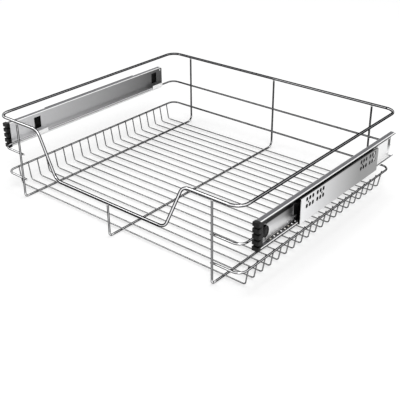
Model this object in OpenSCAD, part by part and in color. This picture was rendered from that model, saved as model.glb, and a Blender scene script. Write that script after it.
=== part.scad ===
// Wire basket that pulls out of a kitchen cabinet on two ball-bearing slides.
// Millimetres. X runs across the cabinet, Y from its front to its back, Z up.
// The origin is below the middle of the basket, level with the underside of its runners.

/* [Basket] */
// Width of the rim, outside
basket_width = 523; // [480:1:700]
// Depth of the rim, outside
basket_depth = 452; // [420:1:520]
// Height from the underside of the runners to the top of the rim
basket_height = 145.3; // [130:0.1:190]
// How far the front of the rim dips
dip_depth = 80.5; // [40:0.5:85]
// Width of the dip along its lower edge
dip_width = 241; // [160:1:250]
// Height of the middle wire's centre
middle_wire_height = 82.4; // [76:0.1:95]
// Height of the lower wire's centre
lower_wire_height = 34.9; // [30:0.1:50]
// Distance from the sides of the rim to the outer runner wires
runner_inset = 51; // [46:1:60]
// Number of wires across the floor
cross_wire_count = 20; // [16:4:24]

/* [Wire sizes] */
// Thickness of the rim's wire
rim_wire = 5; // [4:0.5:7]
// Thickness of the middle, lower and runner wires
frame_wire = 3.5; // [3:0.5:5]
// Thickness of the wires across the floor
cross_wire = 2; // [1.6:0.1:3]
// Bend radius of the rim's corners
rim_corner = 20; // [12:1:30]
// Bend radius of the middle and lower wires' corners
ring_corner = 15; // [8:1:25]

/* [Slides] */
// Thickness of a slide, from the basket's side to the cabinet wall
slide_thickness = 16; // [15:0.5:20]
// Height of the drawer rail
rail_height = 45.5; // [43:0.5:50]
// Diameter of the bearing balls
ball = 3.25; // [3:0.05:3.5]
// Room between the rim and the slides
side_room = 4.5; // [0.5:0.5:8]

/* [Hidden] */
$fn = 32;
weld = 0.1;
butt_weld = 0.3;
seam_gap = 0.004;
seam = 0.1;
seam_swell = 1.01;
half_width = (basket_width - rim_wire) / 2;
half_depth = (basket_depth - rim_wire) / 2;
rim_z = basket_height - rim_wire / 2;
dip_z = rim_z - dip_depth;
dip_slope = 37;
dip_bend = 18;
floor_z = frame_wire / 2;
cross_z = frame_wire + cross_wire / 2 - weld;
ring_half_depth = half_depth - frame_wire + weld;
runner_offset = basket_width / 2 - runner_inset;
ring_end = runner_offset - 1.5 * frame_wire;
runner_top = rim_z - rim_wire / 2 + butt_weld;
centre_runner_top = dip_z - rim_wire / 2 + butt_weld;
front_bend = 5;
rear_bend = 11;

// Cross wires lie on the runners; their legs lean out and are welded inside the lower wire.
floor_inset = 8;
floor_half = half_width - floor_inset;
leg_bend = 5;
leg_overshoot = 1.5;
leg_reach = [floor_inset, lower_wire_height - cross_z];
leg_gap = (frame_wire + cross_wire) / 2 - weld;
leg_lean = atan2(leg_reach.x, leg_reach.y) - asin(leg_gap / norm(leg_reach));
leg_height = leg_reach.y + leg_overshoot;
leg_top = floor_half + leg_height * tan(leg_lean);
cross_wire_insets = [26, 28.5];
first_cross_wire = cross_wire_insets[0] - half_depth;
last_cross_wire = half_depth - cross_wire_insets[1];
cross_pitch = (last_cross_wire - first_cross_wire) / (cross_wire_count - 1);
wires_per_group = cross_wire_count / 4;

// Slides: in a rail's own section u runs from the basket to the wall and v up from its middle.
// A pair of insets puts a part's ends behind the rim's front and before the rim's back.
rail_x = basket_width / 2 + side_room;
rail_rise = 12.5;
rail_z = middle_wire_height + rail_rise;
drawer_rail_insets = [25, 30];
rail_front = drawer_rail_insets[0] - half_depth;
rail_rear = half_depth - drawer_rail_insets[1];
drawer_sheet = 1.2;
drawer_rail_depth = 9.5;
fold = 1.4;
play = 0.05;
rail_half = rail_height / 2;
outer_ball_v = rail_half - drawer_sheet - play - ball / 2;
lip_end = outer_ball_v;
corner_clip = 4;
rear_hole = 3.6;
rear_hole_inset = 5;
window = [15, 22];
window_bottom = -6.3;
hook_insets = [85, 54];
front_hook = hook_insets[0] - half_depth;
rear_hook = half_depth - hook_insets[1];

// Hooks on the drawer rails that carry the basket by its middle wire.
hook_width = 28;
hook_sheet = 1.2;
hook_fold = 1;
hook_gap = 0.02;
hook_seat = -rail_rise - frame_wire / 2 - hook_gap;
hook_shelf = hook_seat - hook_sheet / 2;
hook_foot = -20.5;
hook_room = 0.2;
hook_lip_u = half_width - rail_x - frame_wire / 2 - hook_room - hook_sheet / 2;
hook_lip_top = -7.3;

// Bumpers at the front ends of the drawer rails.
bumper_head = [11, 7];
bumper_front = rail_front - bumper_head.y;
bumper_plug = 8;
bumper_tail = 22;
bumper_ribs = 5;
rib = 6.7;
rib_pitch = (rail_height - rib) / (bumper_ribs - 1);
rib_groove = 1.2;
disc = 12;
disc_recess = 6;

middle_sheet = 1;
middle_half = outer_ball_v - ball / 2 - play;
middle_room = 1.2;
middle_web_u = drawer_sheet + middle_room + middle_sheet / 2;
middle_edge_u = drawer_rail_depth - 0.7;
middle_rail_insets = [115, 44];
middle_front = middle_rail_insets[0] - half_depth;
middle_rear = half_depth - middle_rail_insets[1];
nose_length = 8;
nose_half = 11.5;
nose_corner = 5;

inner_ball_v = middle_half - middle_sheet - play - ball / 2;
raceway_half = inner_ball_v - ball / 2 - play;
cabinet_sheet = 1.2;
cabinet_rail_insets = [115, 103];
cabinet_front = cabinet_rail_insets[0] - half_depth;
cabinet_rear = half_depth - cabinet_rail_insets[1];
plate_margin = 6.9;
plate_half = raceway_half + plate_margin;
plate_u = slide_thickness - cabinet_sheet / 2;
plate_step = 3.8;
step_u = slide_thickness - plate_step;
raceway_start = 5;
slot = [5.4, 7.2];
slot_columns = [-22.3, -14.2, -6.1, 6.1, 14.2, 22.3];
slot_insets = [5.4, 16.6];
slot_rows = [plate_half - slot_insets[0], plate_half - slot_insets[1]];
screw_hole = 3.6;
screw_columns = [-18.2, 18.2];
screw_row = (slot_rows[0] + slot_rows[1]) / 2;
hole_group_insets = [37.5, 33.5];
hole_groups = [cabinet_front + hole_group_insets[0], cabinet_rear - hole_group_insets[1]];

cage_sheet = 0.6;
cage_fold = 0.9;
cage_room = 0.4;
cage_rim = 0.5;
pocket = ball + 0.2;
outer_cage_u = drawer_sheet + cage_room + cage_sheet / 2;
outer_edge_u = drawer_rail_depth - drawer_sheet - cage_room;
outer_ball_u = outer_edge_u - cage_rim - pocket / 2;
outer_cage_insets = [49, 144];
outer_cage_front = outer_cage_insets[0] - half_depth;
outer_cage_rear = half_depth - outer_cage_insets[1];
outer_pitch = 9;
inner_cage_u = middle_web_u + middle_sheet / 2 + cage_room + cage_sheet / 2;
inner_ball_u = (middle_edge_u + raceway_start) / 2;
inner_edge_u = inner_ball_u + pocket / 2 + cage_rim;
inner_cage_insets = [207, 139];
inner_cage_front = inner_cage_insets[0] - half_depth;
inner_cage_rear = half_depth - inner_cage_insets[1];
inner_pitch = 13;
cage_end = 6;

// Direction of a vector.
function unit(v) = v / norm(v);

// Angle by which a path turns at its middle point.
function turn(before, corner, after) =
    acos(max(-1, min(1, unit(corner - before) * unit(after - corner))));

// Length that a bend takes away from each of the two straights that meet in it.
function trim(before, corner, after, radius) =
    radius * tan(turn(before, corner, after) / 2);

// Direction from the start of a bend to the bend's centre.
function inward(before, corner, after) =
    let (ahead = unit(corner - before), beyond = unit(after - corner))
    unit(beyond - (beyond * ahead) * ahead);

// Round bar between two points.
module rod(start, end, thickness) {
    run = end - start;
    translate(start)
        rotate([0, acos(run.z / norm(run)), atan2(run.y, run.x)])
            cylinder(d = thickness, h = norm(run));
}

// Bend of a round wire at a corner, with a seam where it meets each straight.
module wire_bend(before, corner, after, thickness, radius) {
    ahead = unit(corner - before);
    beyond = unit(after - corner);
    side = -inward(before, corner, after);
    axis = cross(side, ahead);
    reach = trim(before, corner, after, radius);
    centre = corner - reach * ahead - radius * side;
    rod(corner - (reach + seam / 2) * ahead, corner - (reach - seam / 2) * ahead,
        seam_swell * thickness);
    rod(corner + (reach - seam / 2) * beyond, corner + (reach + seam / 2) * beyond,
        seam_swell * thickness);
    multmatrix([
        [side.x, ahead.x, axis.x, centre.x],
        [side.y, ahead.y, axis.y, centre.y],
        [side.z, ahead.z, axis.z, centre.z],
        [0, 0, 0, 1]
    ])
        rotate_extrude(angle = turn(before, corner, after))
            translate([radius, 0])
                circle(d = thickness);
}

// Round wire through the given corners, with one bend radius for each of them.
module wire(corners, radii, thickness, closed = false) {
    count = len(corners);
    runs = closed ? count : count - 1;
    for (i = [0:runs - 1]) {
        before = corners[(i + count - 1) % count];
        start = corners[i];
        end = corners[(i + 1) % count];
        after = corners[(i + 2) % count];
        bends = closed || i < runs - 1;
        end_radius = radii[(i + 1) % count];
        start_trim = closed || i > 0 ? seam_gap + trim(before, start, end, radii[i]) : 0;
        end_trim = bends ? seam_gap + trim(start, end, after, end_radius) : 0;
        way = unit(end - start);
        rod(start + start_trim * way, end - end_trim * way, thickness);
        if (bends)
            wire_bend(start, end, after, thickness, end_radius);
    }
}

// Flat part of a folded sheet's section.
module flat(start, end, sheet) {
    run = end - start;
    translate(start)
        rotate(atan2(run.y, run.x))
            translate([0, -sheet / 2])
                square([norm(run), sheet]);
}

// Fold of a sheet's section at a corner.
module sheet_fold(before, corner, after, sheet, radius) {
    ahead = unit(corner - before);
    first = -inward(before, corner, after);
    last = -inward(after, corner, before);
    centre = corner - trim(before, corner, after, radius) * ahead - radius * first;
    reach = 2 * (radius + sheet);
    translate(centre)
        intersection() {
            difference() {
                circle(r = radius + sheet / 2);
                circle(r = radius - sheet / 2);
            }
            polygon([[0, 0], reach * first, reach * (first + last), reach * last]);
        }
}

// Section of a folded sheet along the given corners, which lie in its mid-plane.
module folded_section(corners, sheet, radius) {
    runs = len(corners) - 1;
    for (i = [0:runs - 1]) {
        start = corners[i];
        end = corners[i + 1];
        way = unit(end - start);
        start_trim = i > 0 ? trim(corners[i - 1], start, end, radius) : 0;
        end_trim = i < runs - 1 ? trim(start, end, corners[i + 2], radius) : 0;
        flat(start + start_trim * way, end - end_trim * way, sheet);
        if (i < runs - 1)
            sheet_fold(start, end, corners[i + 2], sheet, radius);
    }
}

// A section pulled along the rail from one place to the other.
module along(front, rear) {
    translate([0, rear, 0])
        rotate([90, 0, 0])
            linear_extrude(rear - front)
                children();
}

// Puts a slide part, drawn in u, Y and v, at the right side of the basket.
module right_side() {
    translate([rail_x, 0, rail_z])
        children();
}

// Puts a slide part, drawn in u, Y and v, at the left side of the basket.
module left_side() {
    mirror([1, 0, 0])
        right_side()
            children();
}

// Hole through a rail's web, along u.
module web_hole(y, v, diameter, start, depth) {
    translate([start, y, v])
        rotate([0, 90, 0])
            cylinder(d = diameter, h = depth);
}

// Thick wire round the top of the basket, dipped at the front.
module rim_wire() {
    dip_half = dip_width / 2;
    shoulder = dip_half + dip_slope;
    corners = [
        [half_width, -half_depth, rim_z],
        [half_width, half_depth, rim_z],
        [-half_width, half_depth, rim_z],
        [-half_width, -half_depth, rim_z],
        [-shoulder, -half_depth, rim_z],
        [-dip_half, -half_depth, dip_z],
        [dip_half, -half_depth, dip_z],
        [shoulder, -half_depth, rim_z]
    ];
    radii = [
        rim_corner, rim_corner, rim_corner, rim_corner,
        dip_bend, dip_bend, dip_bend, dip_bend
    ];
    color("silver")
        wire(corners, radii, rim_wire, closed = true);
}

// Wire round the sides and the back, open between the outer runners at the front.
module ring(height) {
    corners = [
        [-ring_end, -ring_half_depth, height],
        [-half_width, -ring_half_depth, height],
        [-half_width, ring_half_depth, height],
        [half_width, ring_half_depth, height],
        [half_width, -ring_half_depth, height],
        [ring_end, -ring_half_depth, height]
    ];
    radii = [0, ring_corner, ring_corner, ring_corner, ring_corner, 0];
    color("silver")
        wire(corners, radii, frame_wire);
}

// Wire that runs down the front, back along the floor and up the back.
module runner_wire(x, front_top) {
    corners = [
        [x, -half_depth, front_top],
        [x, -half_depth, floor_z],
        [x, half_depth, floor_z],
        [x, half_depth, runner_top]
    ];
    color("silver")
        wire(corners, [0, front_bend, rear_bend, 0], frame_wire);
}

// One thin wire across the floor with its two legs.
module cross_wire_at(y) {
    corners = [
        [-leg_top, y, cross_z + leg_height],
        [-floor_half, y, cross_z],
        [floor_half, y, cross_z],
        [leg_top, y, cross_z + leg_height]
    ];
    wire(corners, [0, leg_bend, leg_bend, 0], cross_wire);
}

// A quarter of the cross wires, counted from the front.
module cross_wires(group) {
    first = group * wires_per_group;
    color("silver")
        for (i = [first:first + wires_per_group - 1])
            cross_wire_at(first_cross_wire + i * cross_pitch);
}

// Outer rail of a slide, which carries the basket.
module drawer_rail() {
    edge_u = drawer_rail_depth - drawer_sheet / 2;
    top_v = rail_half - drawer_sheet / 2;
    web_u = drawer_sheet / 2;
    color("lightgray")
        difference() {
            along(rail_front, rail_rear)
                folded_section([
                    [edge_u, lip_end], [edge_u, top_v], [web_u, top_v],
                    [web_u, -top_v], [edge_u, -top_v], [edge_u, -lip_end]
                ], drawer_sheet, fold);
            for (y = [front_hook, rear_hook])
                translate([-drawer_sheet, y - window.x / 2, window_bottom])
                    cube([3 * drawer_sheet, window.x, window.y]);
            for (v = [-1, 1])
                web_hole(rail_rear - rear_hole_inset, v * (rail_half - rear_hole_inset),
                         rear_hole, -drawer_sheet, 3 * drawer_sheet);
            for (v = [-rail_half, rail_half])
                translate([drawer_rail_depth / 2, rail_rear, v])
                    rotate([45, 0, 0])
                        cube([slide_thickness, corner_clip, corner_clip], center = true);
        }
}

// The two sheet-metal hooks of one side.
module hooks() {
    color("gainsboro")
        for (y = [front_hook, rear_hook])
            along(y - hook_width / 2, y + hook_width / 2)
                folded_section([
                    [-hook_sheet / 2, hook_foot], [-hook_sheet / 2, hook_shelf],
                    [hook_lip_u, hook_shelf], [hook_lip_u, hook_lip_top]
                ], hook_sheet, hook_fold);
}

// Ribbed outline of a bumper, as wide as given, with round ends where asked for.
module ribbed_outline(width, far_end_round) {
    for (i = [0:bumper_ribs - 1])
        translate([0, (i - (bumper_ribs - 1) / 2) * rib_pitch]) {
            translate([rib / 2, 0])
                circle(d = rib);
            if (far_end_round) {
                translate([width - rib / 2, 0])
                    circle(d = rib);
                translate([rib / 2, -rib / 2])
                    square([width - rib, rib]);
            } else {
                translate([rib / 2, -rib / 2])
                    square([width - rib / 2, rib]);
            }
        }
    core_height = rail_height - rib;
    core_width = far_end_round ? width - 2 * rib_groove : width - rib_groove;
    translate([rib_groove, -core_height / 2])
        square([core_width, core_height]);
}

// Plastic end piece that stops the drawer rail's front softly.
module bumper() {
    inner_u = drawer_sheet + play;
    depth = drawer_rail_depth - drawer_sheet - play - inner_u;
    plug_half = outer_ball_v - play;
    disc_y = rail_front + bumper_tail - disc / 2;
    recess = 1;
    color("#202020") {
        intersection() {
            along(bumper_front, rail_front - play)
                ribbed_outline(bumper_head.x, true);
            translate([0, bumper_front, 0])
                rotate([90, 0, 90])
                    linear_extrude(bumper_head.x)
                        ribbed_outline(bumper_head.y - play, false);
        }
        translate([inner_u, rail_front - 1, -plug_half])
            cube([depth, bumper_plug + 1, 2 * plug_half]);
        translate([inner_u, rail_front, -nose_half])
            cube([depth / 2, bumper_tail - disc / 2, 2 * nose_half]);
        difference() {
            web_hole(disc_y, 0, disc, inner_u, depth);
            web_hole(disc_y, 0, disc_recess, inner_u + depth - recess, 2 * recess);
        }
    }
}

// Rail between the drawer rail and the cabinet rail.
module middle_rail() {
    edge_v = middle_half - middle_sheet / 2;
    color("lightgray")
        difference() {
            along(middle_front, middle_rear)
                folded_section([
                    [middle_edge_u, edge_v], [middle_web_u, edge_v],
                    [middle_web_u, -edge_v], [middle_edge_u, -edge_v]
                ], middle_sheet, fold);
            for (side = [-1, 1]) {
                translate([0, middle_front + (nose_length - 1) / 2,
                           side * (nose_half + rail_half) / 2])
                    cube([3 * slide_thickness, nose_length + 1, rail_half - nose_half],
                         center = true);
                difference() {
                    translate([0, middle_front,
                               side * (nose_half - nose_corner / 2)])
                        cube([3 * slide_thickness, 2 * nose_corner, nose_corner],
                             center = true);
                    translate([-slide_thickness, middle_front + nose_corner,
                               side * (nose_half - nose_corner)])
                        rotate([0, 90, 0])
                            cylinder(r = nose_corner, h = 3 * slide_thickness);
                }
            }
        }
}

// U-shaped sheet that keeps a slide's balls apart.
module cage(web_u, edge_u, ball_at, front, rear, pitch) {
    color("darkgray")
        difference() {
            along(front, rear)
                folded_section([
                    [edge_u, ball_at.y], [web_u, ball_at.y],
                    [web_u, -ball_at.y], [edge_u, -ball_at.y]
                ], cage_sheet, cage_fold);
            for (y = [front + cage_end:pitch:rear - cage_end])
                translate([ball_at.x, y, -rail_half])
                    cylinder(d = pocket, h = rail_height);
        }
}

// Balls of one cage, above and below.
module balls(ball_at, front, rear, pitch) {
    color("silver")
        for (y = [front + cage_end:pitch:rear - cage_end])
            for (v = [-ball_at.y, ball_at.y])
                translate([ball_at.x, y, v])
                    sphere(d = ball);
}

module outer_cage() {
    cage(outer_cage_u, outer_edge_u, [outer_ball_u, outer_ball_v],
         outer_cage_front, outer_cage_rear, outer_pitch);
}

module outer_balls() {
    balls([outer_ball_u, outer_ball_v], outer_cage_front, outer_cage_rear, outer_pitch);
}

module inner_cage() {
    cage(inner_cage_u, inner_edge_u, [inner_ball_u, inner_ball_v],
         inner_cage_front, inner_cage_rear, inner_pitch);
}

module inner_balls() {
    balls([inner_ball_u, inner_ball_v], inner_cage_front, inner_cage_rear, inner_pitch);
}

// Upright slot through the plate of a cabinet rail.
module plate_slot(y, v) {
    straight = slot.y - slot.x;
    start = slide_thickness - 2 * cabinet_sheet;
    depth = 3 * cabinet_sheet;
    web_hole(y, v + straight / 2, slot.x, start, depth);
    web_hole(y, v - straight / 2, slot.x, start, depth);
    translate([start, y - slot.x / 2, v - straight / 2])
        cube([depth, slot.x, straight]);
}

// Rail that is screwed to the cabinet wall, with a perforated plate at its back.
module cabinet_rail() {
    raceway_v = raceway_half - cabinet_sheet / 2;
    plate_v = plate_half - cabinet_sheet / 2;
    color("lightgray")
        difference() {
            along(cabinet_front, cabinet_rear)
                folded_section([
                    [raceway_start, raceway_v], [step_u, raceway_v],
                    [step_u, plate_v], [plate_u, plate_v],
                    [plate_u, -plate_v], [step_u, -plate_v],
                    [step_u, -raceway_v], [raceway_start, -raceway_v]
                ], cabinet_sheet, fold);
            for (group = hole_groups) {
                for (column = slot_columns)
                    for (row = slot_rows)
                        plate_slot(group + column, row);
                for (column = screw_columns)
                    web_hole(group + column, screw_row, screw_hole,
                             slide_thickness - 2 * cabinet_sheet, 3 * cabinet_sheet);
            }
        }
}

rim_wire();
ring(middle_wire_height);  // middle_wire
ring(lower_wire_height);  // lower_wire
runner_wire(-runner_offset, runner_top);  // left_runner_wire
runner_wire(0, centre_runner_top);  // centre_runner_wire
runner_wire(runner_offset, runner_top);  // right_runner_wire
cross_wires(0);  // cross_wires_front
cross_wires(1);  // cross_wires_middle_front
cross_wires(2);  // cross_wires_middle_rear
cross_wires(3);  // cross_wires_rear
left_side() drawer_rail();  // left_drawer_rail
right_side() drawer_rail();  // right_drawer_rail
left_side() hooks();  // left_hooks
right_side() hooks();  // right_hooks
left_side() bumper();  // left_bumper
right_side() bumper();  // right_bumper
left_side() middle_rail();  // left_middle_rail
right_side() middle_rail();  // right_middle_rail
left_side() outer_cage();  // left_outer_cage
right_side() outer_cage();  // right_outer_cage
left_side() outer_balls();  // left_outer_balls
right_side() outer_balls();  // right_outer_balls
left_side() inner_cage();  // left_inner_cage
right_side() inner_cage();  // right_inner_cage
left_side() inner_balls();  // left_inner_balls
right_side() inner_balls();  // right_inner_balls
left_side() cabinet_rail();  // left_cabinet_rail
right_side() cabinet_rail();  // right_cabinet_rail
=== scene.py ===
"""Wire basket that pulls out of a kitchen cabinet on ball-bearing slides, in a plain studio."""

import logging
import math
from collections.abc import Callable, Iterator, Sequence
from contextlib import contextmanager
from dataclasses import dataclass, replace
from enum import Enum
from typing import Union

import bmesh
import bpy
from mathutils import Matrix, Vector

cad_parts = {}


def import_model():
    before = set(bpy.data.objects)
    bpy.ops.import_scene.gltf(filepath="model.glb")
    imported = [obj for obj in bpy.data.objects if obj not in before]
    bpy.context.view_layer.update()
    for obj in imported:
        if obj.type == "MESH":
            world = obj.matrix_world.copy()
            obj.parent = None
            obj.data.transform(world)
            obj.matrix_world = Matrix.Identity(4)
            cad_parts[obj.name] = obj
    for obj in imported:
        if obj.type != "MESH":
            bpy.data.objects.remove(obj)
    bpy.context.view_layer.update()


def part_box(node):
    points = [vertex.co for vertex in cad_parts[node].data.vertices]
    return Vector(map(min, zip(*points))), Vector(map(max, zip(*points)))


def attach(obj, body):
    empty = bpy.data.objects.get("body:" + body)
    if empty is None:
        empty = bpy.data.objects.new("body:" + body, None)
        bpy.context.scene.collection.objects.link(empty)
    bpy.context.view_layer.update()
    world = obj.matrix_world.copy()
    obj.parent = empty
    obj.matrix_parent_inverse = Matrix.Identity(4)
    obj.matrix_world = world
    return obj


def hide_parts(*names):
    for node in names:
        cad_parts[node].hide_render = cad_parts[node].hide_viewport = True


LOG = logging.getLogger("pull_out_basket")
MM = 0.001
SQUARE_ON = 0.9
BEVEL_ANGLE = math.radians(30.0)
SMOOTH_ANGLE = math.radians(40.0)
Colour = tuple[float, float, float]
Point = tuple[float, float, float]
Rings = tuple[tuple[float, float], ...]
Value = Union["Shade", float]
Material = bpy.types.Material
Piece = bpy.types.Object
Socket = bpy.types.NodeSocket


class Side(Enum):
    """The two sides of the basket, with the sign of X there."""

    LEFT = -1
    RIGHT = 1

    def node(self, part: str) -> str:
        """Name of this side's node for a part of the slide."""
        return f"{self.name.lower()}_{part}"


class Slot(Enum):
    """Names of two of the record's material slots."""

    CHROME = "basket_chrome"
    PLASTIC = "black_plastic"


def grey(level: float) -> Colour:
    """Three equal values, as a neutral colour or as an even stretch."""
    return (level, level, level)


class Shade:
    """A number that varies over a surface. Arithmetic on it adds Math nodes."""

    def __init__(self, tree: bpy.types.NodeTree, socket: Socket) -> None:
        """Wraps an output socket of a node tree."""
        self.tree = tree
        self.socket = socket

    def _maths(self, operation: str, first: Value, second: Value) -> "Shade":
        """Adds one Math node.

        Args:
            operation: the Math node's operation.
            first: its first value.
            second: its second value.

        Returns:
            The node's result.
        """
        node = self.tree.nodes.new("ShaderNodeMath")
        node.operation = operation
        for socket, value in zip(node.inputs, (first, second)):
            if isinstance(value, Shade):
                self.tree.links.new(value.socket, socket)
            else:
                socket.default_value = value
        return Shade(self.tree, node.outputs[0])

    def __add__(self, other: Value) -> "Shade":
        """Sum."""
        return self._maths("ADD", self, other)

    def __radd__(self, other: float) -> "Shade":
        """Sum with a number on the left."""
        return self._maths("ADD", other, self)

    def __sub__(self, other: Value) -> "Shade":
        """Difference."""
        return self._maths("SUBTRACT", self, other)

    def __rsub__(self, other: float) -> "Shade":
        """Difference with a number on the left."""
        return self._maths("SUBTRACT", other, self)

    def __mul__(self, other: Value) -> "Shade":
        """Product."""
        return self._maths("MULTIPLY", self, other)

    def __rmul__(self, other: float) -> "Shade":
        """Product with a number on the left."""
        return self._maths("MULTIPLY", other, self)

    def __pow__(self, other: Value) -> "Shade":
        """Power."""
        return self._maths("POWER", self, other)

    def __truediv__(self, other: Value) -> "Shade":
        """Quotient."""
        return self._maths("DIVIDE", self, other)

    def size(self) -> "Shade":
        """Value without its sign."""
        return self._maths("ABSOLUTE", self, 0.0)

    def at_least(self, other: Value) -> "Shade":
        """The higher of two values."""
        return self._maths("MAXIMUM", self, other)

    def at_most(self, other: Value) -> "Shade":
        """The lower of two values."""
        return self._maths("MINIMUM", self, other)

    def sign(self) -> "Shade":
        """-1, 0 or 1, as the value is below, at or above 0."""
        return self._maths("SIGN", self, 0.0)

    def beyond(self, limit: float) -> "Shade":
        """How far the value lies past a limit on either side of 0, with its sign."""
        return self - self.at_least(-limit).at_most(limit)

    def below(self, limit: float) -> "Shade":
        """How far the value lies under a limit, as 0 or a negative number."""
        return (self - limit).at_most(0.0)

    def ramp(self, start: float, end: float) -> "Shade":
        """Ramps from 0 at the start value to 1 at the end value, which may be the lower one."""
        rise = (self - start) * (1 / (end - start))
        return rise.at_least(0.0).at_most(1.0)

    def above(self, threshold: float, softness: float) -> "Shade":
        """Ramps from 0 to 1 over a width of softness, with the threshold in its middle."""
        return self.ramp(threshold - softness / 2, threshold + softness / 2)


class Plane(Enum):
    """The plane in which a wire is bent."""

    LEVEL = "round the basket"
    LENGTHWISE = "along the floor and up at the front and the back"
    CROSSWISE = "across the floor and up at both sides"


@dataclass(frozen=True)
class Dip:
    """Dipped front of a level wire, by the height of its two levels, its bends and its slopes."""

    low: float
    high: float
    bend: float
    slope_cosine: float
    wire_radius: float


@dataclass(frozen=True)
class Course:
    """Way of a wire, by its straights, in metres.

    first is how far from the middle its first straight ends, along X, or along Y for a lengthwise
    wire. second is the same along Y for a level wire, and otherwise the height where its uprights
    start. lean is how far the uprights lean out for each metre of height.
    """

    plane: Plane
    first: float
    second: float
    lean: float = 0.0
    dip: Dip | None = None


class Nodes:
    """Node tree of a material or world under construction."""

    def __init__(self, owner: Material | bpy.types.World) -> None:
        """Starts with an empty tree."""
        owner.use_nodes = True
        self.tree = owner.node_tree
        self.tree.nodes.clear()

    def node(
        self,
        kind: str,
        settings: dict[str, object] | None = None,
        inputs: dict[str | int, object] | None = None,
    ) -> bpy.types.Node:
        """Adds a node.

        Args:
            kind: the node's type.
            settings: its properties, set before its inputs.
            inputs: values, Shades or sockets for its inputs, by name or number.

        Returns:
            The node.
        """
        node = self.tree.nodes.new(kind)
        for key, value in (settings or {}).items():
            setattr(node, key, value)
        for key, value in (inputs or {}).items():
            socket = node.inputs[key]
            value = value.socket if isinstance(value, Shade) else value
            if isinstance(value, Socket):
                self.tree.links.new(value, socket)
            else:
                socket.default_value = value
        return node

    def shade(self, socket: Socket) -> Shade:
        """Wraps a socket of this tree for arithmetic."""
        return Shade(self.tree, socket)

    def shown(self) -> Shade:
        """1 for rays of the camera, of a reflection or through glass, and 0 for rays of light."""
        path = self.node("ShaderNodeLightPath")
        kinds = ("Camera", "Glossy", "Transmission")
        camera, glossy, through = (self.shade(path.outputs[f"Is {kind} Ray"]) for kind in kinds)
        return camera.at_least(glossy).at_least(through)

    def mix(self, factor: Shade, first: bpy.types.Node, second: bpy.types.Node) -> Socket:
        """Mixes two shader nodes, from only the first at 0 to only the second at 1."""
        inputs = {0: factor, 1: first.outputs[0], 2: second.outputs[0]}
        return self.node("ShaderNodeMixShader", inputs=inputs).outputs[0]


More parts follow.
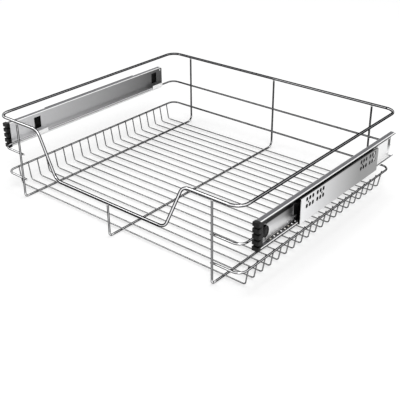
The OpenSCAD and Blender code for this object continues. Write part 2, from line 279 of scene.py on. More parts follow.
class Paint(Nodes):
    """One material under construction."""

    def __init__(self, name: str) -> None:
        """Starts an empty node material of that name."""
        self.material = bpy.data.materials.new(name)
        super().__init__(self.material)

    def place(self, stretch: Point) -> Socket:
        """Object coordinates, in metres, multiplied along X, Y and Z."""
        inputs = {"Vector": self.node("ShaderNodeTexCoord").outputs["Object"], "Scale": stretch}
        return self.node("ShaderNodeMapping", inputs=inputs).outputs[0]

    def noise(self, per_metre: Point | float, detail: float, rough: float = 0.5) -> Shade:
        """Cloudy noise over Object coordinates.

        Args:
            per_metre: features in a metre, along X, Y and Z or the same along all three.
            detail: how many finer layers it has.
            rough: how strong the finer layers are.

        Returns:
            The noise, about 0.5 on average.
        """
        where = self.place(per_metre if isinstance(per_metre, tuple) else grey(per_metre))
        inputs = {"Vector": where, "Scale": 1.0, "Detail": detail, "Roughness": rough}
        return self.shade(self.node("ShaderNodeTexNoise", inputs=inputs).outputs[0])

    def crystals(self, per_metre: float) -> Shade:
        """Random grey of each cell of a plating's crystal pattern.

        Args:
            per_metre: cells along a metre.

        Returns:
            The grey of the cell, from 0 to 1.
        """
        where = self.place(grey(per_metre))
        cells = self.node("ShaderNodeTexVoronoi", inputs={"Vector": where, "Scale": 1.0})
        split = self.node("ShaderNodeSeparateColor", inputs={0: cells.outputs["Color"]})
        return self.shade(split.outputs[0])

    def blend(self, factor: Shade, first: Colour | Socket, second: Colour | Socket) -> Socket:
        """Mixes two colours.

        Args:
            factor: 0 gives the first colour and 1 the second.
            first: a colour or a colour socket.
            second: a colour or a colour socket.

        Returns:
            The mixed colour's socket.
        """
        start, end = (c if isinstance(c, Socket) else (*c, 1.0) for c in (first, second))
        settings = {"data_type": "RGBA", "clamp_factor": True}
        return self.node("ShaderNodeMix", settings, {0: factor, 6: start, 7: end}).outputs[2]

    def part(self, vector: Socket, axis: int) -> Shade:
        """X (0), Y (1) or Z (2) of a vector."""
        return self.shade(self.node("ShaderNodeSeparateXYZ", inputs={0: vector}).outputs[axis])

    def coordinate(self, axis: int) -> Shade:
        """X (0), Y (1) or Z (2) of a place on the object, in metres."""
        return self.part(self.node("ShaderNodeTexCoord").outputs["Object"], axis)

    def normal(self, axis: int) -> Shade:
        """X (0), Y (1) or Z (2) of the surface's normal."""
        return self.part(self.node("ShaderNodeNewGeometry").outputs["Normal"], axis)

    def facing(self, direction: Socket | None = None) -> Shade:
        """0 where the normal, or a direction in its place, faces the viewer and 1 square to it."""
        inputs = {"Blend": 0.5} | ({"Normal": direction} if direction else {})
        return self.shade(self.node("ShaderNodeLayerWeight", inputs=inputs).outputs["Facing"])

    def steepness(self, dip: Dip) -> Shade:
        """Cosine of a dipped wire's slope: 1 where it is level and less on its slopes.

        Args:
            dip: the wire's dip.

        Returns:
            The cosine.
        """
        height = self.coordinate(2) - self.normal(2) * dip.wire_radius
        climb = (height - dip.low).at_most(dip.high - height).at_least(0.0)
        return (1 - climb * (1 / dip.bend)).at_least(dip.slope_cosine)

    def travel(self, course: Course) -> Socket:
        """Direction in which a wire runs, at each place on it.

        Args:
            course: the wire's way.

        Returns:
            The socket of a vector of length 1.
        """
        x, y, z = (self.coordinate(axis) for axis in range(3))
        if course.plane is Plane.LEVEL:
            ahead = -1 * y.beyond(course.second)
            parts = [ahead, x.beyond(course.first), 0.0]
            if course.dip:
                cosine = self.steepness(course.dip)
                parts[2] = ahead * x.sign() * (1 - cosine * cosine) ** 0.5 / cosine
        elif course.plane is Plane.LENGTHWISE:
            parts = [0.0, -1 * z.below(course.second), y.beyond(course.first)]
        else:
            side = x.beyond(course.first)
            parts = [side.size() * course.lean - z.below(course.second), 0.0, side]
        whole = self.node("ShaderNodeCombineXYZ", inputs=dict(enumerate(parts))).outputs[0]
        return self.node("ShaderNodeVectorMath", {"operation": "NORMALIZE"}, {0: whole}).outputs[0]

    def middle(self, course: Course) -> Shade:
        """How near a place on a wire lies to the middle of its visible width.

        Args:
            course: the wire's way.

        Returns:
            1 in the middle and 0 at the wire's outline, as 1 - w**2, where w is the distance from
            the middle as a share of the distance to the outline.
        """
        looked_at = 1 - self.facing()
        looked_along = 1 - self.facing(self.travel(course))
        return looked_at * looked_at / (1 - looked_along * looked_along)

    def bump(self, height: Shade, depth: float) -> Socket:
        """Normal of fine relief, by its height from 0 to 1 and its depth in metres."""
        inputs = {"Strength": 1.0, "Distance": depth, "Height": height}
        return self.node("ShaderNodeBump", inputs=inputs).outputs[0]

    def surface(
        self, fixed: dict[str, object], colour: Socket, rough: Shade, normal: Socket
    ) -> Material:
        """Ends the material with the shader and the output.

        Args:
            fixed: values that are the same all over.
            colour: the surface's colour.
            rough: its roughness.
            normal: its normal.

        Returns:
            The finished material.
        """
        inputs = {**fixed, "Base Color": colour, "Roughness": rough, "Normal": normal}
        shader = self.node("ShaderNodeBsdfPrincipled", inputs=inputs)
        self.node("ShaderNodeOutputMaterial", inputs={"Surface": shader.outputs[0]})
        return self.material


@dataclass(frozen=True)
class ChromedWire:
    """Bright chrome on drawn wire, with painted reflection: narrow bright core, wide dark
    outlines.

    cores are the bright core's shares of the width at the basket's front and rear, a painted fade,
    lit_core is its share where a level wire takes a painted highlight, and along the basket's
    sides the outline is paler, a painted reflection of the rails.
    """

    name: str
    course: Course
    bright: Colour = (0.86, 0.86, 0.87)
    painted_side_reflection: Colour = (0.66, 0.66, 0.67)
    outline: Colour = (0.014, 0.014, 0.016)
    edge_tint: float = 0.35
    cores: tuple[float, float] = (0.21, 0.09)
    lit_core: float = 0.45
    painted_rail_reflection: Colour | None = None
    beside_from: float = 0.250
    beside_half: float = 0.186
    lit_front: tuple[float, float] = (-0.195, -0.212)
    softness: float = 0.12
    half_depth: float = 0.2235
    fade_width: float = 0.006
    level_cosine: float = 0.8
    aside: tuple[float, float] = (0.5, 0.72)
    hazed: float = 0.9
    polish: float = 0.13
    haze_rough: float = 0.10
    haze_per_metre: float = 55.0
    lines_per_metre: float = 900.0
    line_rough: float = 0.04
    line_depth: float = 0.000006

    def painted_edge_mask(self, paint: Paint, core: float) -> Shade:
        """Painted dark outline, a painted reflection, on both sides of a bright core.

        Args:
            paint: the material under construction.
            core: share of the wire's width that the core takes.

        Returns:
            0 on the core and 1 on the outline.
        """
        start, end = max(core - self.softness / 2, 0.0), core + self.softness / 2
        return paint.middle(self.course).ramp(1 - start**2, 1 - end**2)

    def lit(self, paint: Paint) -> Shade:
        """Where a level wire's painted highlight widens its core: the front and its dip's slopes.

        Args:
            paint: the material under construction.

        Returns:
            1 there and 0 elsewhere.
        """
        front = paint.coordinate(1).ramp(*self.lit_front)
        dip = self.course.dip
        if not dip:
            return front
        slopes = paint.steepness(dip).ramp(self.level_cosine, dip.slope_cosine)
        raised = paint.coordinate(2).ramp((dip.low + dip.high) / 2, dip.high)
        return slopes.at_least(front * raised)

    def material(self) -> Material:
        """Builds the finish as a material."""
        paint = Paint(self.name)
        haze = paint.noise(self.haze_per_metre, detail=4.0)
        lines = paint.noise(self.lines_per_metre, detail=2.0, rough=0.7)
        hazy = tuple(self.hazed * level for level in self.bright)
        core = paint.blend(haze.above(0.5, softness=0.5), hazy, self.bright)
        # Painted reflection: faces that look sideways take a darker core colour, for the dark room
        # they would mirror.
        aside = paint.normal(0).size().ramp(*self.aside)
        depth = paint.coordinate(1).ramp(-self.half_depth, self.half_depth)
        # Painted reflection: dark outlines on both sides of a bright core, by how squarely the
        # wire faces the viewer; the core is wider at the front than at the rear.
        front, rear = self.cores
        painted_edge_mask = self.painted_edge_mask(paint, front) * (1 - depth) + self.painted_edge_mask(paint, rear) * depth
        # Painted highlight: on level wires the core widens along the front and on the dip's
        # slopes, without the sideways darkening.
        if self.course.plane is Plane.LEVEL:
            lit = self.lit(paint)
            aside = aside * (1 - lit)
            painted_edge_mask = painted_edge_mask * (1 - lit) + self.painted_edge_mask(paint, self.lit_core) * lit
        # Painted reflection of the rails: where a paler colour is given, the outline is paler
        # along the basket's sides.
        outline = self.outline
        if self.painted_rail_reflection:
            painted_rail_reflection = paint.coordinate(0).size().above(self.beside_from, self.fade_width)
            straight = paint.coordinate(1).size().above(self.beside_half, -self.fade_width)
            outline = paint.blend(painted_rail_reflection * straight, self.outline, self.painted_rail_reflection)
        core = paint.blend(aside, core, self.painted_side_reflection)
        return paint.surface(
            {"Metallic": 1.0, "Specular Tint": (*grey(self.edge_tint), 1.0)},
            paint.blend(painted_edge_mask, core, outline),
            self.polish + self.haze_rough * haze + self.line_rough * lines,
            paint.bump(lines, self.line_depth),
        )


class Measure(Enum):
    """What a fade goes by: an axis, place or direction, and whether both ways count alike."""

    ASIDE = (0, "place", True)
    LENGTH = (1, "place", False)
    HEIGHT = (2, "place", False)
    FORWARD = (1, "direction", True)
    UPWARD = (2, "direction", True)


@dataclass(frozen=True)
class PaintedLightFade:
    """Painted light and shade: a gradual change of a surface's colour, all over or only within
    another fade's reach.
    """

    measure: Measure
    start: float
    end: float
    colour: Colour
    within: "PaintedLightFade | None" = None

    def factor(self, paint: Paint) -> Shade:
        """How far the change has gone, from 0 to 1.

        Args:
            paint: the material under construction.

        Returns:
            The factor.
        """
        axis, kind, either_way = self.measure.value
        value = paint.normal(axis) if kind == "direction" else paint.coordinate(axis)
        if either_way:
            value = value.size()
        factor = value.ramp(self.start, self.end)
        return factor * self.within.factor(paint) if self.within else factor


@dataclass(frozen=True)
class RolledSteel:
    """Cold-rolled sheet with zinc on it: long rolling marks, faint crystals and rubbed patches."""

    name: str
    light: Colour
    dark: Colour
    painted_light_fades: tuple[PaintedLightFade, ...] = ()
    rough: float = 0.34
    metallic: float = 1.0
    marks: Point = (1400.0, 9.0, 1400.0)
    patches: Point = (26.0, 7.0, 26.0)
    crystals_per_metre: float = 420.0
    tone_shares: Point = (0.45, 0.40, 0.15)
    tone_spread: float = 0.55
    fade_play: float = 0.08
    rough_play: tuple[float, float] = (0.12, 0.08)
    crystal_relief: float = 0.3
    relief: float = 0.000012

    def material(self) -> Material:
        """Builds the finish as a material."""
        paint = Paint(self.name)
        marks = paint.noise(self.marks, detail=4.0)
        patches = paint.noise(self.patches, detail=5.0, rough=0.6)
        cells = paint.crystals(self.crystals_per_metre)
        by_mark, by_patch, by_cell = self.tone_shares
        tone = by_mark * marks + by_patch * patches + by_cell * cells
        colour = paint.blend(tone.above(0.5, self.tone_spread), self.dark, self.light)
        reach = 1 - self.fade_play / 2 + self.fade_play * tone
        # Painted light and shade: each fade moves the colour towards a lighter or darker grey by
        # place or by facing.
        for fade in self.painted_light_fades:
            colour = paint.blend(fade.factor(paint) * reach, colour, fade.colour)
        mark_rough, patch_rough = self.rough_play
        least_rough = self.rough - mark_rough / 2
        return paint.surface(
            {"Metallic": self.metallic},
            colour,
            least_rough + mark_rough * marks + patch_rough * patches,
            paint.bump(marks + self.crystal_relief * cells, self.relief),
        )


@dataclass(frozen=True)
class PolishedBall:
    """Ground and polished bearing steel with a trace of grease."""

    name: str
    bright: Colour = (0.78, 0.78, 0.79)
    greasy: Colour = (0.46, 0.43, 0.36)
    grease_per_metre: float = 240.0
    polish: float = 0.08
    grease_rough: float = 0.25
    relief: float = 0.00001

    def material(self) -> Material:
        """Builds the finish as a material."""
        paint = Paint(self.name)
        grease = paint.noise(self.grease_per_metre, detail=3.0)
        film = grease.above(0.58, softness=0.2)
        return paint.surface(
            {"Metallic": 1.0},
            paint.blend(film, self.bright, self.greasy),
            self.polish + self.grease_rough * film,
            paint.bump(grease, self.relief),
        )


@dataclass(frozen=True)
class MouldedPlastic:
    """Black moulded plastic with a fine eroded grain and rubbed spots."""

    name: str
    colour: Colour = grey(0.003)
    rubbed: Colour = (0.014, 0.014, 0.015)
    gloss: float = 0.14
    rough: float = 0.30
    wear_rough: float = 0.14
    grain_rough: float = 0.06
    wear_per_metre: float = 160.0
    grain_per_metre: float = 2600.0
    grain_depth: float = 0.00004

    def material(self) -> Material:
        """Builds the finish as a material."""
        paint = Paint(self.name)
        grain = paint.noise(self.grain_per_metre, detail=2.0, rough=0.6)
        wear = paint.noise(self.wear_per_metre, detail=5.0, rough=0.65)
        return paint.surface(
            {"Specular IOR Level": self.gloss},
            paint.blend(wear.above(0.62, softness=0.18), self.colour, self.rubbed),
            self.rough + self.wear_rough * wear + self.grain_rough * grain,
            paint.bump(grain, self.grain_depth),
        )


@dataclass(frozen=True)
class WeldedChrome:
    """Chrome over a resistance weld: a small lumpy bead, duller than the wire, with painted shade
    at its outline.
    """

    name: str
    bright: Colour = (0.60, 0.60, 0.61)
    dull_and_edge_shade: Colour = (0.16, 0.155, 0.15)
    lumps_per_metre: float = 700.0
    polish: float = 0.20
    lump_rough: float = 0.22
    relief: float = 0.00012

    def material(self) -> Material:
        """Builds the finish as a material."""
        paint = Paint(self.name)
        lumps = paint.noise(self.lumps_per_metre, detail=3.0, rough=0.6)
        # Painted shade: the bead darkens towards its outline as seen; the dull lumps are the
        # weld's own.
        painted_edge_mask = paint.facing().above(0.55, softness=0.5)
        tone = 0.5 * lumps.above(0.5, softness=0.3) + 0.5 * painted_edge_mask
        return paint.surface(
            {"Metallic": 1.0},
            paint.blend(tone, self.bright, self.dull_and_edge_shade),
            self.polish + self.lump_rough * lumps,
            paint.bump(lumps, self.relief),
        )


class Bench:
    """Modelling by hand: primitives, edit-mode operators and modifiers."""

    @staticmethod
    def pick(*objects: Piece) -> None:
        """Selects only these objects and makes the first active."""
        bpy.ops.object.select_all(action="DESELECT")
        for piece in objects:
            piece.select_set(True)
        bpy.context.view_layer.objects.active = objects[0]

    @staticmethod
    def inset(rings: Rings) -> None:
        """Insets the selected faces again and again, by widths and depths in millimetres."""
        for width, depth in rings:
            bpy.ops.mesh.inset(thickness=width * MM, depth=depth * MM)

    @staticmethod
    def entitle(piece: Piece, name: str) -> Piece:
        """Names a piece and its mesh."""
        piece.name = piece.data.name = name
        return piece

    @staticmethod
    def settle(name: str) -> Piece:
        """Names the new primitive and applies its place, turn and size.

        Args:
            name: the piece's name.

        Returns:
            The piece.
        """
        piece = Bench.entitle(bpy.context.active_object, name)
        Bench.pick(piece)
        bpy.ops.object.transform_apply(location=True, rotation=True, scale=True)
        return piece

    @staticmethod
    def block(name: str, low: Point, high: Point) -> Piece:
        """Box between two corners.

        Args:
            name: the piece's name.
            low: lowest corner in metres.
            high: highest corner in metres.

        Returns:
            The box.
        """
        middle = [(a + b) / 2 for a, b in zip(low, high)]
        bpy.ops.mesh.primitive_cube_add(size=1.0, location=middle)
        bpy.context.active_object.scale = [b - a for a, b in zip(low, high)]
        return Bench.settle(name)

    @staticmethod
    @contextmanager
    def editing(piece: Piece, wanted: Callable[[bmesh.types.BMFace], bool]) -> Iterator[None]:
        """Edit mode on one piece, with some of its faces selected.

        Args:
            piece: the piece.
            wanted: says for each face whether it is selected.
        """
        Bench.pick(piece)
        bpy.ops.object.mode_set(mode="EDIT")
        bpy.ops.mesh.select_all(action="DESELECT")
        bpy.ops.mesh.select_mode(type="FACE")
        shell = bmesh.from_edit_mesh(piece.data)
        for face in shell.faces:
            face.select_set(wanted(face))
        bmesh.update_edit_mesh(piece.data)
        yield
        bpy.ops.object.mode_set(mode="OBJECT")

    @staticmethod
    def soften(piece: Piece, width: float, steps: int = 3) -> None:
        """Rounds the sharp edges of a piece and shades it smooth.

        Args:
            piece: the piece.
            width: the rounding's width in metres.
            steps: faces across each rounding.
        """
        Bench.pick(piece)
        bevel = piece.modifiers.new("rounding", "BEVEL")
        bevel.width = width
        bevel.segments = steps
        bevel.limit_method = "ANGLE"
        bevel.angle_limit = BEVEL_ANGLE
        bpy.ops.object.modifier_apply(modifier=bevel.name)
        bpy.ops.object.shade_smooth_by_angle(angle=SMOOTH_ANGLE)

    @staticmethod
    def copy(piece: Piece, name: str, change: Matrix) -> Piece:
        """Copies a piece with a mesh of its own.

        Args:
            piece: what to copy.
            name: the copy's name.
            change: how the copy's mesh is moved, turned or sized.

        Returns:
            The copy.
        """
        twin = piece.copy()
        twin.data = piece.data.copy()
        Bench.entitle(twin, name)
        bpy.context.scene.collection.objects.link(twin)
        twin.data.transform(change)
        if change.determinant() < 0:
            twin.data.flip_normals()
        return twin

    @staticmethod
    def join(name: str, pieces: Sequence[Piece]) -> Piece:
        """Joins pieces into one.

        Args:
            name: the joined piece's name.
            pieces: what to join.

        Returns:
            The joined piece.
        """
        Bench.pick(*pieces)
        bpy.ops.object.join()
        return Bench.entitle(bpy.context.view_layer.objects.active, name)

    @staticmethod
    def paint(piece: Piece, material: Material) -> None:
        """Gives a piece one material all over."""
        piece.data.materials.clear()
        piece.data.materials.append(material)


@dataclass
class WireBasket:
    """The welded wire basket: finishes of its wires, and a bead at each weld."""

    rim_chrome: ChromedWire
    middle_chrome: ChromedWire
    lower_chrome: ChromedWire
    runner_chrome: ChromedWire
    cross_chrome: ChromedWire
    weld: WeldedChrome
    rim_radius: float = 2.5 * MM
    frame_radius: float = 1.75 * MM
    cross_radius: float = 1.0 * MM
    wires_per_group: int = 5
    dip_depth: float = 80.5 * MM
    floor_bead: Point = (1.45 * MM, 1.15 * MM, 0.7 * MM)
    floor_sink: float = 0.05 * MM
    leg_bead: Point = (0.65 * MM, 1.15 * MM, 1.3 * MM)
    leg_rise: float = 0.08 * MM
    frame_bead: Point = (1.85 * MM, 0.7 * MM, 1.85 * MM)
    cap_from: float = 0.6
    cap_spread: Point = (1.25, 1.25, 0.82)
    collar_height: float = 2.2 * MM
    collar_walls: tuple[float, float] = (0.05 * MM, 0.35 * MM)
    lip_height: float = 0.7 * MM
    lip_spread: Point = (1.12, 1.12, 1.0)
    collar_round: float = 0.25 * MM

    RINGS = ("middle_wire", "lower_wire")
    SHORT_RUNNER = "centre_runner_wire"
    RUNNERS = ("left_runner_wire", SHORT_RUNNER, "right_runner_wire")
    GROUPS = (
        "cross_wires_front",
        "cross_wires_middle_front",
        "cross_wires_middle_rear",
        "cross_wires_rear",
    )

    def runner_places(self) -> list[float]:
        """X of each runner's centre line."""
        return [(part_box(name)[0][0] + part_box(name)[1][0]) / 2 for name in self.RUNNERS]

    def cross_places(self) -> list[float]:
        """Y of each cross wire's centre line."""
        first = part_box(self.GROUPS[0])[0][1] + self.cross_radius
        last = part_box(self.GROUPS[-1])[1][1] - self.cross_radius
        count = self.wires_per_group * len(self.GROUPS)
        return [first + (last - first) * i / (count - 1) for i in range(count)]

    def bead(self, name: str, size: Point) -> Piece:
        """Models one weld bead round the origin.

        Args:
            name: the bead's name.
            size: its half sizes in metres.

        Returns:
            The bead.
        """
        bpy.ops.mesh.primitive_uv_sphere_add(segments=8, ring_count=6, radius=1.0)
        piece = Bench.settle(name)
        with Bench.editing(piece, lambda face: abs(face.calc_center_median().z) > self.cap_from):
            bpy.ops.transform.resize(value=self.cap_spread)
            bpy.ops.mesh.select_all(action="SELECT")
            bpy.ops.transform.resize(value=size)
        bpy.ops.object.shade_smooth()
        return piece

    def collar(self, name: str) -> Piece:
        """Models the fillet where a runner's end meets the rim, with its top at the origin.

        Args:
            name: the collar's name.

        Returns:
            The collar.
        """
        lower_wall, upper_wall = self.collar_walls
        bpy.ops.mesh.primitive_cone_add(
            vertices=20,
            radius1=self.frame_radius + lower_wall,
            radius2=self.frame_radius + upper_wall,
            depth=self.collar_height,
            location=(0.0, 0.0, -self.collar_height / 2),
        )
        piece = Bench.settle(name)
        with Bench.editing(piece, lambda face: face.normal.z > SQUARE_ON):
            lift = {"value": (0.0, 0.0, self.lip_height)}
            bpy.ops.mesh.extrude_region_move(TRANSFORM_OT_translate=lift)
            bpy.ops.transform.resize(value=self.lip_spread)
        Bench.soften(piece, self.collar_round, 2)
        return piece

    def spread(self, name: str, template: Piece, places: Sequence[Point]) -> Piece:
        """Copies a template to many places and joins the copies.

        Args:
            name: the joined piece's name.
            template: what to copy; it is removed afterwards.
            places: where the copies go.

        Returns:
            The joined piece.
        """
        copies = [
            Bench.copy(template, f"{name}_{i}", Matrix.Translation(place))
            for i, place in enumerate(places)
        ]
        bpy.data.objects.remove(template)
        return Bench.join(name, copies)

    def floor_welds(self) -> Piece:
        """Beads where the cross wires touch the runners."""
        height = 2 * self.frame_radius - self.floor_sink
        places = [(x, y, height) for x in self.runner_places() for y in self.cross_places()]
        return self.spread("floor_welds", self.bead("floor_bead", self.floor_bead), places)

    def leg_welds(self) -> Piece:
        """Beads where the cross wires' legs touch the lower wire."""
        low, high = map(Vector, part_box("lower_wire"))
        reach = high.x - 2 * self.frame_radius + self.leg_rise
        height = (low.z + high.z) / 2
        places = [(side.value * reach, y, height) for side in Side for y in self.cross_places()]
        return self.spread("leg_welds", self.bead("leg_bead", self.leg_bead), places)

    def frame_welds(self) -> Piece:
        """Beads where the middle and lower wires touch the runners' uprights."""
        places = []
        for ring in self.RINGS:
            low, high = map(Vector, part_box(ring))
            height = (low.z + high.z) / 2
            for name, x in zip(self.RUNNERS, self.runner_places()):
                places.append((x, high.y, height))
                if name != self.SHORT_RUNNER:
                    places.append((x, low.y, height))
        return self.spread("frame_welds", self.bead("frame_bead", self.frame_bead), places)

    def rim_welds(self) -> Piece:
        """Collars where the runners' ends meet the underside of the rim."""
        places = []
        rear_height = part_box("rim_wire")[1][2] - 2 * self.rim_radius
        for name, x in zip(self.RUNNERS, self.runner_places()):
            low, high = map(Vector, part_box(name))
            front_height = rear_height - (self.dip_depth if name == self.SHORT_RUNNER else 0.0)
            places.append((x, low.y + self.frame_radius, front_height))
            places.append((x, high.y - self.frame_radius, rear_height))
        return self.spread("rim_welds", self.collar("rim_collar"), places)

    def build(self) -> list[Piece]:
        """Dresses the wires and adds the welds.

        Returns:
            The new pieces.
        """
        dress("rim_wire", self.rim_chrome.material())
        for chrome, names in (
            (self.middle_chrome, self.RINGS[:1]),
            (self.lower_chrome, self.RINGS[1:]),
            (self.runner_chrome, self.RUNNERS),
            (self.cross_chrome, self.GROUPS),
        ):
            finish = chrome.material()
            for name in names:
                dress(name, finish)
        welds = [self.floor_welds(), self.leg_welds(), self.frame_welds(), self.rim_welds()]
        bead_finish = self.weld.material()
        for piece in welds:
            Bench.paint(piece, bead_finish)
            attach(piece, "basket")
        return welds


@dataclass
class Bumper:
    """Ribbed plastic end of a drawer rail, with the oval catch behind it."""

    plastic: Material
    ribs: int = 5
    rib_height: float = 6.7 * MM
    rib_round: float = 1.0 * MM
    rib_frame: float = 0.4 * MM
    groove: float = 2.0 * MM
    head_length: float = 6.95 * MM
    plug_length: float = 8.0 * MM
    rail_sheet: float = 1.25 * MM
    rail_room: float = 7.0 * MM
    catch_radius: float = 7.2 * MM
    catch_stretch: Point = (1.0, 1.0, 1.3)
    catch_rings: Rings = ((1.1, 0.0), (0.5, -0.9), (1.3, 0.0), (0.4, 0.7))
    plug_half: float = 19.8 * MM
    plug_rings: Rings = ((1.0, 0.0), (0.3, -0.8))
    tongue_half: float = 11.4 * MM
    horn_from: float = 13.0 * MM
    horn_length: float = 8.0 * MM
    horn_taper: Point = (1.0, 1.0, 0.7)
    lap: float = 1.0 * MM
    core_round: float = 0.5 * MM
    catch_round: float = 0.3 * MM
    plug_round: float = 0.35 * MM
    tongue_round: float = 0.8 * MM
    horn_round: float = 0.6 * MM

    def rib(self, name: str, low: Vector, high: Vector, middle: float) -> Piece:
        """Models one rib.

        Args:
            name: the rib's name.
            low: lowest corner of the whole bumper head.
            high: highest corner of the whole bumper head.
            middle: height of the rib's middle.

        Returns:
            The rib.
        """
        half = self.rib_height / 2
        piece = Bench.block(name, (low.x, low.y, middle - half), (high.x, high.y, middle + half))
        with Bench.editing(piece, lambda face: face.normal.y < -SQUARE_ON):
            bpy.ops.mesh.inset(thickness=self.rib_frame, depth=0.0)
        Bench.soften(piece, self.rib_round, 5)
        return piece

    def head(self, name: str, low: Vector, high: Vector) -> list[Piece]:
        """Models the ribbed head that stands before the rail's end.

        Args:
            name: the head's name.
            low: its lowest corner.
            high: its highest corner.

        Returns:
            The ribs and the core behind them.
        """
        pitch = (high.z - low.z - self.rib_height) / (self.ribs - 1)
        ribs = [
            self.rib(f"{name}_rib_{i}", low, high, low.z + self.rib_height / 2 + i * pitch)
            for i in range(self.ribs)
        ]
        core = Bench.block(
            f"{name}_core",
            (low.x + self.groove, low.y + self.groove, low.z + self.rib_height / 2),
            (high.x - self.groove, high.y, high.z - self.rib_height / 2),
        )
        Bench.soften(core, self.core_round, 2)
        return [*ribs, core]

    def catch(self, name: str, centre: Vector) -> Piece:
        """Models the oval catch that lies in the rail behind the head.

        Args:
            name: the catch's name.
            centre: its middle, on an axis that runs along X.

        Returns:
            The catch.
        """
        bpy.ops.mesh.primitive_cylinder_add(
            vertices=40,
            radius=self.catch_radius,
            depth=self.rail_room,
            location=centre,
            rotation=(0.0, math.pi / 2, 0.0),
        )
        piece = Bench.settle(name)
        with Bench.editing(piece, lambda face: face.normal.x > SQUARE_ON):
            Bench.inset(self.catch_rings)
            bpy.ops.mesh.select_all(action="SELECT")
            bpy.ops.transform.resize(value=self.catch_stretch, center_override=tuple(centre))
        Bench.soften(piece, self.catch_round)
        return piece

    def tail(self, name: str, start: Vector, middle: float, catch_y: float) -> list[Piece]:
        """Models the plug, the tongue and the horn inside the rail.

        Args:
            name: the tail's name.
            start: a corner of the whole bumper, at its basket side and its rail's end.
            middle: height of the rail's middle.
            catch_y: where the oval catch has its axis.

        Returns:
            The plug, the tongue and the horn above them.
        """
        near = start.x + self.rail_sheet
        plug_end = start.y + self.plug_length
        plug = Bench.block(
            f"{name}_plug",
            (near, start.y - self.lap, middle - self.plug_half),
            (near + self.rail_room, plug_end, middle + self.plug_half),
        )
        with Bench.editing(plug, lambda face: face.normal.y > SQUARE_ON):
            Bench.inset(self.plug_rings)
        Bench.soften(plug, self.plug_round)
        tongue = Bench.block(
            f"{name}_tongue",
            (near, start.y, middle - self.tongue_half),
            (near + self.rail_room / 2, catch_y, middle + self.tongue_half),
        )
        Bench.soften(tongue, self.tongue_round)
        horn = Bench.block(
            f"{name}_horn",
            (near, plug_end - self.lap, middle + self.horn_from),
            (near + self.rail_room, plug_end + self.horn_length, middle + self.plug_half),
        )
        with Bench.editing(horn, lambda face: face.normal.y > SQUARE_ON):
            bpy.ops.transform.resize(value=self.horn_taper)
        Bench.soften(horn, self.horn_round)
        return [plug, tongue, horn]

    def build(self, side: Side) -> Piece:
        """Models a side's bumper in the place of its plain solid.

        Args:
            side: which side it is on.

        Returns:
            The bumper.
        """
        low, high = map(Vector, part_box(Side.RIGHT.node("bumper")))
        name = side.node("bumper_ribbed")
        rail_end = low.y + self.head_length
        middle = (low.z + high.z) / 2
        catch_y = high.y - self.catch_radius
        pieces = self.head(f"{name}_head", low, Vector((high.x, rail_end, high.z)))
        pieces += self.tail(f"{name}_tail", Vector((low.x, rail_end, low.z)), middle, catch_y)
        centre = Vector((low.x + self.rail_sheet + self.rail_room / 2, catch_y, middle))
        pieces.append(self.catch(f"{name}_catch", centre))
        whole = Bench.join(name, pieces)
        if side is Side.LEFT:
            mirrored = Bench.copy(whole, f"{name}_mirrored", Matrix.Scale(-1, 4, (1, 0, 0)))
            bpy.data.objects.remove(whole)
            whole = Bench.entitle(mirrored, name)
        Bench.paint(whole, self.plastic)
        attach(whole, "basket")
        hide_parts(side.node("bumper"))
        return whole


@dataclass
class Slides:
    """Both ball-bearing slides: steel finishes with painted light and shade, and ribbed bumpers.
    """

    rail: RolledSteel
    hook: RolledSteel
    inner_rail: RolledSteel
    cage: RolledSteel
    plate: RolledSteel
    ball: PolishedBall
    plastic: MouldedPlastic

    def build(self) -> list[Piece]:
        """Dresses the rails and adds the bumpers.

        Returns:
            The new pieces.
        """
        finishes = {
            "drawer_rail": self.rail.material(),
            "hooks": self.hook.material(),
            "middle_rail": self.inner_rail.material(),
            "outer_cage": self.cage.material(),
            "cabinet_rail": self.plate.material(),
            "outer_balls": self.ball.material(),
        }
        finishes["inner_cage"] = finishes["outer_cage"]
        finishes["inner_balls"] = finishes["outer_balls"]
        bumper = Bumper(self.plastic.material())
        for side in Side:
            for part, material in finishes.items():
                dress(side.node(part), material)
        return [bumper.build(side) for side in Side]


@dataclass(frozen=True)
class Viewpoint:
    """The camera's place and lens."""

    place: Point = (0.78669, -0.93163, 0.63701)
    turn: float = 0.6841
    tilt_down: float = 0.4737
    focal_px: float = 763.0975
    centre_px: tuple[float, float] = (211.2403, 180.5873)
    frame_px: float = 400.0
    sensor_mm: float = 36.0
    nearest: float = 0.01

    def build(self) -> None:
        """Makes the scene's camera."""
        lens = bpy.data.cameras.new("camera")
        lens.sensor_width = self.sensor_mm
        lens.lens = self.focal_px / self.frame_px * self.sensor_mm
        lens.shift_x = (self.frame_px / 2 - self.centre_px[0]) / self.frame_px
        lens.shift_y = (self.centre_px[1] - self.frame_px / 2) / self.frame_px
        lens.clip_start = self.nearest
        camera = bpy.data.objects.new("camera", lens)
        camera.location = self.place
        camera.rotation_euler = (math.pi / 2 - self.tilt_down, 0.0, self.turn)
        bpy.context.scene.collection.objects.link(camera)
        bpy.context.scene.camera = camera


@dataclass(frozen=True)
class Lamp:
    """A soft square lamp that points at the basket."""

    name: str
    place: Point
    size: float
    watts: float

    def build(self, target: Vector) -> None:
        """Adds the lamp.

        Args:
            target: the point that it shines at.
        """
        light = bpy.data.lights.new(self.name, "AREA")
        light.shape = "SQUARE"
        light.size = self.size
        light.energy = self.watts
        lamp = bpy.data.objects.new(self.name, light)
        lamp.location = self.place
        lamp.rotation_euler = (target - Vector(self.place)).to_track_quat("-Z", "Y").to_euler()
        bpy.context.scene.collection.objects.link(lamp)


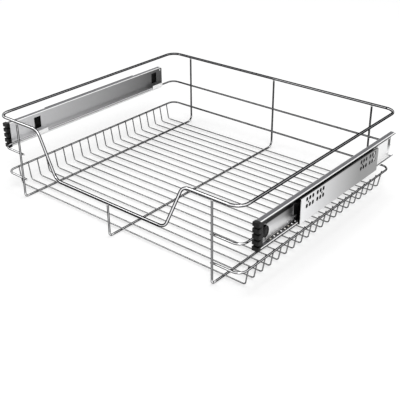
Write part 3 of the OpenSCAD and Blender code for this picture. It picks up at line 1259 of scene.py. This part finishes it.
@dataclass(frozen=True)
class Studio:
    """Pale floor, soft sky and lamps."""

    floor_size: float = 14.0
    floor_colour: Colour = grey(0.98)
    floor_cloud: Colour = grey(0.9653)
    clouds_per_metre: float = 1.5
    floor_rough: float = 0.9
    floor_whiteness: float = 0.35
    target: Point = (0.0, 0.0, 0.07)
    sky: Colour = grey(1.0)
    sky_power: float = 0.62
    lamps: tuple[Lamp, ...] = (
        Lamp("key_lamp", (2.8, -2.6, 4.4), 2.4, 110.0),
        Lamp("fill_lamp", (-3.5, -2.0, 3.8), 2.4, 44.0),
        Lamp("top_lamp", (0.0, 0.8, 5.5), 2.6, 62.0),
    )

    def floor(self) -> Piece:
        """Lays the floor under the basket."""
        bpy.ops.mesh.primitive_plane_add(size=self.floor_size)
        ground = Bench.settle("studio_floor")
        paint = Paint("studio_floor")
        cloud = paint.noise(self.clouds_per_metre, detail=2.0)
        colour = paint.blend(cloud, self.floor_cloud, self.floor_colour)
        inputs = {"Roughness": self.floor_rough, "Specular IOR Level": 0.0, "Base Color": colour}
        matte = paint.node("ShaderNodeBsdfPrincipled", inputs=inputs)
        white = paint.node("ShaderNodeEmission", inputs={"Strength": 1.0})
        mixed = paint.mix(paint.shown() * self.floor_whiteness, matte, white)
        paint.node("ShaderNodeOutputMaterial", inputs={"Surface": mixed})
        Bench.paint(ground, paint.material)
        return ground

    def air(self) -> None:
        """Sets the world: an even sky for light, white for the camera and in the metal."""
        world = bpy.data.worlds.new("studio_sky")
        bpy.context.scene.world = world
        nodes = Nodes(world)
        colour = (*self.sky, 1.0)
        light, white = (
            nodes.node("ShaderNodeBackground", inputs={"Color": colour, "Strength": power})
            for power in (self.sky_power, 1.0)
        )
        mixed = nodes.mix(nodes.shown(), light, white)
        nodes.node("ShaderNodeOutputWorld", inputs={"Surface": mixed})

    def build(self) -> None:
        """Sets up the floor, the world and the lamps."""
        self.floor()
        self.air()
        for lamp in self.lamps:
            lamp.build(Vector(self.target))
        bpy.context.scene.view_settings.view_transform = "Standard"


def dress(node: str, material: Material) -> None:
    """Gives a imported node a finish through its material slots."""
    for place in bpy.data.objects[node].material_slots:
        place.material = material


def main() -> None:
    """Loads the frame and builds the basket, the slides and the studio in order."""
    logging.basicConfig(level=logging.INFO, format="%(message)s")
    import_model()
    Viewpoint().build()
    Studio().build()
    lower_chrome = ChromedWire(
        "lower_chrome",
        Course(Plane.LEVEL, 0.2440, 0.2051),
        painted_side_reflection=(0.80, 0.80, 0.81),
        cores=(0.20, 0.06),
        lit_core=0.34,
    )
    basket = WireBasket(
        ChromedWire(
            "rim_chrome",
            Course(Plane.LEVEL, 0.2390, 0.2035, dip=Dip(0.0623, 0.1428, 0.018, 0.418, 0.0025)),
            painted_side_reflection=(0.38, 0.38, 0.39),
            cores=(0.17, 0.08),
            lit_core=0.36,
        ),
        replace(lower_chrome, name="middle_chrome", painted_rail_reflection=(0.40, 0.40, 0.41)),
        lower_chrome,
        ChromedWire(
            "runner_chrome",
            Course(Plane.LENGTHWISE, 0.2150, 0.0098),
            painted_side_reflection=(0.86, 0.86, 0.87),
            edge_tint=0.28,
            cores=(0.17, 0.0),
        ),
        ChromedWire(
            "cross_chrome",
            Course(Plane.CROSSWISE, 0.2480, 0.0074, lean=0.174),
            cores=(0.15, 0.09),
        ),
        WeldedChrome("welded_chrome"),
    )
    aside, length, height, forward, upward = Measure
    # Reach of two of the drawer rail's painted fades: its channel, away from the basket.
    channel = PaintedLightFade(aside, 0.2664, 0.2668, grey(0.0))
    slides = Slides(
        rail=RolledSteel(
            "rail_steel",
            (0.74, 0.74, 0.75),
            (0.66, 0.66, 0.67),
            (
                # Painted shade: darker towards the rear.
                PaintedLightFade(length, -0.20, 0.19, grey(0.07)),
                # Painted light: lighter low on the web inside the channel.
                PaintedLightFade(height, 0.094, 0.080, grey(0.98), within=channel),
                # Painted shadow: dark high in the channel, under the lip.
                PaintedLightFade(height, 0.096, 0.112, grey(0.05), within=channel),
                # Painted shade: the outer lip is dark.
                PaintedLightFade(aside, 0.2738, 0.2742, (0.040, 0.040, 0.041)),
                # Painted highlight: a bright band along the bottom edge.
                PaintedLightFade(height, 0.0762, 0.0756, grey(0.90)),
                # Painted highlight: the bends are light.
                PaintedLightFade(upward, 0.30, 0.42, grey(0.95)),
                # Painted shade: the level flanges are darker.
                PaintedLightFade(upward, 0.88, 0.96, (0.13, 0.13, 0.14)),
            ),
            metallic=0.55,
        ),
        # Painted highlight: the hooks' steel is near white and barely metallic.
        hook=RolledSteel("hook_steel", grey(0.95), grey(0.90), metallic=0.1),
        inner_rail=RolledSteel(
            "inner_rail_steel",
            # Painted shadow: the middle rail is near black, as in the plate's shadow.
            grey(0.11),
            grey(0.06),
            (
                # Painted light: bright at the rear, past the plate.
                PaintedLightFade(length, 0.128, 0.134, grey(0.88)),
                # Painted highlight: the faces at its ends are light.
                PaintedLightFade(forward, 0.5, 0.8, grey(0.90)),
                # Painted shade: its inner faces are black.
                PaintedLightFade(aside, 0.2690, 0.2687, grey(0.006)),
            ),
            rough=0.42,
        ),
        cage=RolledSteel(
            "cage_steel",
            (0.80, 0.80, 0.81),
            (0.70, 0.70, 0.71),
            (
                # Painted shade: darker towards the rear.
                PaintedLightFade(length, -0.17, -0.105, grey(0.16)),
                # Painted light: lighter towards the bottom.
                PaintedLightFade(height, 0.094, 0.082, grey(0.88)),
                # Painted shade: darker towards the top.
                PaintedLightFade(height, 0.092, 0.104, grey(0.30)),
                # Painted shadow: a black band high up, under the rail's lip.
                PaintedLightFade(height, 0.1000, 0.1018, grey(0.010)),
                # Painted shade: level faces are near black.
                PaintedLightFade(upward, 0.5, 0.8, grey(0.05)),
                # Painted shade: its inner faces are black.
                PaintedLightFade(aside, 0.2680, 0.2677, grey(0.006)),
            ),
            rough=0.38,
        ),
        plate=RolledSteel(
            "plate_steel",
            (0.90, 0.90, 0.91),
            (0.84, 0.84, 0.85),
            (
                # Painted shade: darker towards the rear.
                PaintedLightFade(length, -0.108, 0.060, grey(0.30)),
                # Painted shade: the walls of the slots and the ends are black.
                PaintedLightFade(forward, 0.5, 0.8, grey(0.006)),
                # Painted highlight: the front end is bright.
                PaintedLightFade(length, -0.1078, -0.1082, grey(0.95)),
                # Painted shade: the parts towards the basket are black.
                PaintedLightFade(aside, 0.2811, 0.2808, grey(0.012)),
            ),
        ),
        ball=PolishedBall("ball_steel"),
        plastic=MouldedPlastic("black_plastic"),
    )
    for piece in basket.build() + slides.build():
        LOG.info("%s: %d faces", piece.name, len(piece.data.polygons))


if __name__ == "__main__":
    main()
